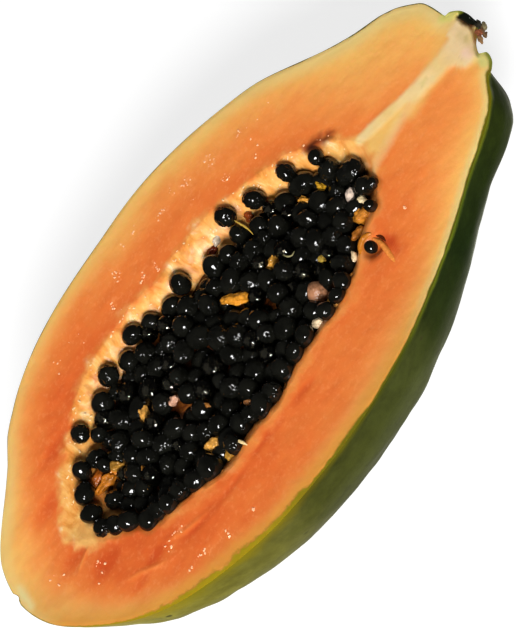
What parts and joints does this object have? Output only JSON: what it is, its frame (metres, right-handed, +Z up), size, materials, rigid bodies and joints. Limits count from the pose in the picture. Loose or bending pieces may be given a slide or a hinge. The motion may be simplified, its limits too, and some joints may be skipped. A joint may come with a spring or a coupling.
{
  "type": "papaya half",
  "caption": "Ripe papaya half cut lengthwise, lying skin down: green skin, thick orange flesh, stalk stub and an oval hollow filled with a heap of round black seeds.",
  "frame": {"origin": "on the table under the middle of the half's length and width; the half rests on the small flat spot on its back", "axes": "+X from the blossom tip to the stalk, +Y across the cut face, +Z up out of the cut face"},
  "size_m": [0.218, 0.1202, 0.0616],
  "materials": {
    "papaya_flesh": "moist orange flesh inside a thin, smooth green skin with a satin sheen",
    "papaya_seeds": "glossy black wrinkled seeds, each in a wet clear sac"
  },
  "bodies": {
    "root": {"papaya_half": "papaya_flesh", "seed_heap": "papaya_seeds"}
  },
  "joints": []
}
